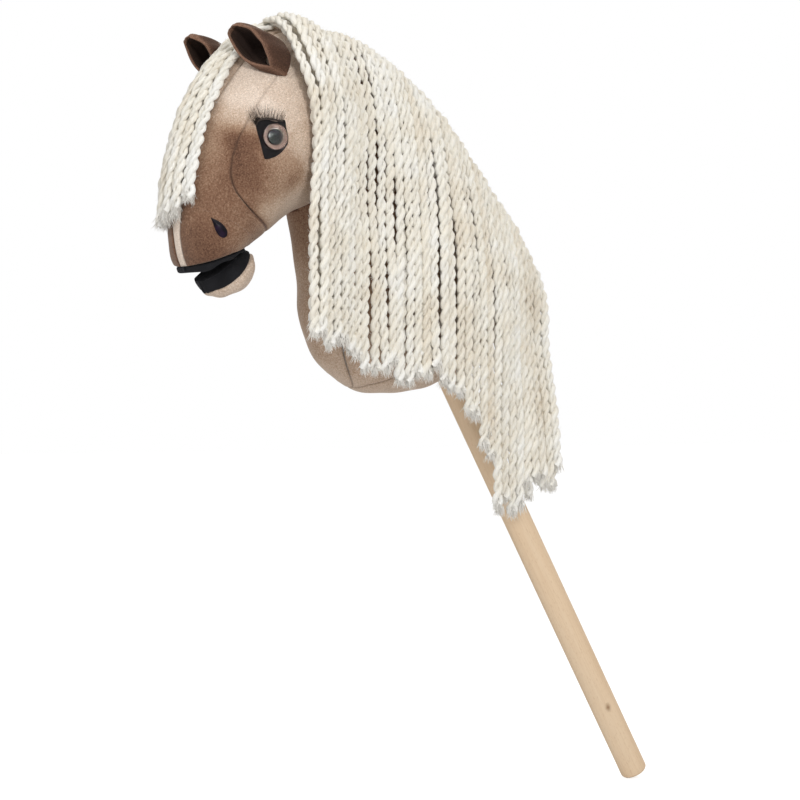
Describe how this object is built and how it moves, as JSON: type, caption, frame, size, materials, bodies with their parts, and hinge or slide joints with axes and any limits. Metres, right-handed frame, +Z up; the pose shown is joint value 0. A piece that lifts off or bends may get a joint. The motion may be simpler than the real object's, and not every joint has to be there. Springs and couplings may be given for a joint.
{
  "type": "hobby horse",
  "caption": "Stuffed velvet horse head and neck on a round wooden stick, with open mouth, plastic eyes and a long yarn mane and forelock.",
  "frame": {"origin": "centre of the flat face at the stick's lower end", "axes": "+Z up as pictured, with the yarn hanging straight down and the stick leaning 30 degrees; the horse looks along -X and its left side, where the mane hangs, faces -Y"},
  "size_m": [0.5751, 0.148, 0.7622],
  "materials": {
    "beech": "sanded, unvarnished",
    "brown_velvet": "short pile velvet",
    "taupe_velvet": "short pile velvet",
    "beige_velvet": "short pile velvet",
    "dark_velvet": "short pile velvet",
    "ear_lining": "dark velvet lining",
    "black_velvet": "black velvet",
    "black_felt": "cut felt",
    "satin": "dark satin",
    "yarn": "crimped two ply yarn",
    "cotton_tape": "woven tape",
    "filling": "loose polyester fibre, pressed firm",
    "canvas": "plain weave canvas",
    "nylon": "moulded",
    "zinc_steel": "zinc plated",
    "washer_plastic": "moulded",
    "eye_plastic": "polished",
    "clear_plastic": "clear, polished",
    "lash_bristle": "fine bristle"
  },
  "bodies": {
    "horse": {"stick": "beech", "stick_pocket": "canvas", "pocket_tie": "nylon", "pocket_screw": "zinc_steel", "neck_stuffing": "filling", "neck_side_left": "brown_velvet", "neck_side_right": "brown_velvet", "throat_gusset": "taupe_velvet", "neck_base_panel": "taupe_velvet", "head_stuffing": "filling", "head_side_left": "brown_velvet", "head_side_right": "brown_velvet", "face_gusset": "beige_velvet", "palate_lining": "black_velvet", "eye_patch_left": "black_felt", "eye_patch_right": "black_felt", "eye_iris_left": "eye_plastic", "eye_iris_right": "eye_plastic", "eye_dome_left": "clear_plastic", "eye_dome_right": "clear_plastic", "eye_washer_left": "washer_plastic", "eye_washer_right": "washer_plastic", "eyelash_left": "lash_bristle", "eyelash_right": "lash_bristle", "nostril_left": "satin", "nostril_right": "satin", "mane_tape": "cotton_tape", "forelock_tape": "cotton_tape"},
    "jaw": {"jaw_stuffing": "filling", "jaw_panel": "beige_velvet", "jaw_lining": "black_velvet"},
    "ear_left": {"ear_shell_left": "dark_velvet", "ear_lining_left": "ear_lining"},
    "ear_right": {"ear_shell_right": "dark_velvet", "ear_lining_right": "ear_lining"},
    "forelock": {"forelock": "yarn"},
    "mane_1": {"mane_lock_1": "yarn"},
    "mane_2": {"mane_lock_2": "yarn"},
    "mane_3": {"mane_lock_3": "yarn"},
    "mane_4": {"mane_lock_4": "yarn"},
    "mane_5": {"mane_lock_5": "yarn"},
    "mane_6": {"mane_lock_6": "yarn"}
  },
  "joints": [
    {"name": "jaw_flex", "type": "hinge", "parent": "horse", "child": "jaw", "pos_m": [-0.48924, 0, 0.53367], "axis": [0, 1, 0], "range_deg": [-8, 4], "stiffness_Nm_per_rad": 1},
    {"name": "ear_left_flex", "type": "hinge", "parent": "horse", "child": "ear_left", "pos_m": [-0.46673, -0.046, 0.70007], "axis": [-0.0799, 0.9421, -0.3258], "range_deg": [-8, 10], "stiffness_Nm_per_rad": 0.2},
    {"name": "ear_right_flex", "type": "hinge", "parent": "horse", "child": "ear_right", "pos_m": [-0.46673, 0.046, 0.70007], "axis": [0.0799, 0.9421, 0.3258], "range_deg": [-8, 10], "stiffness_Nm_per_rad": 0.2},
    {"name": "forelock_swing", "type": "hinge", "parent": "horse", "child": "forelock", "pos_m": [-0.4797, 0, 0.7236], "axis": [0, 1, 0], "range_deg": [0, 40]},
    {"name": "mane_1_swing", "type": "hinge", "parent": "horse", "child": "mane_1", "pos_m": [-0.4242, -0.0058, 0.7475], "axis": [-1, 0, 0], "range_deg": [0, 20]},
    {"name": "mane_2_swing", "type": "hinge", "parent": "horse", "child": "mane_2", "pos_m": [-0.3745, -0.0058, 0.7409], "axis": [-1, 0, 0], "range_deg": [0, 20]},
    {"name": "mane_3_swing", "type": "hinge", "parent": "horse", "child": "mane_3", "pos_m": [-0.3248, -0.0058, 0.7274], "axis": [-1, 0, 0], "range_deg": [0, 20]},
    {"name": "mane_4_swing", "type": "hinge", "parent": "horse", "child": "mane_4", "pos_m": [-0.2752, -0.0058, 0.698], "axis": [-1, 0, 0], "range_deg": [0, 20]},
    {"name": "mane_5_swing", "type": "hinge", "parent": "horse", "child": "mane_5", "pos_m": [-0.2255, -0.0058, 0.6525], "axis": [-1, 0, 0], "range_deg": [0, 20]},
    {"name": "mane_6_swing", "type": "hinge", "parent": "horse", "child": "mane_6", "pos_m": [-0.1758, -0.0058, 0.5931], "axis": [-1, 0, 0], "range_deg": [0, 20]}
  ]
}
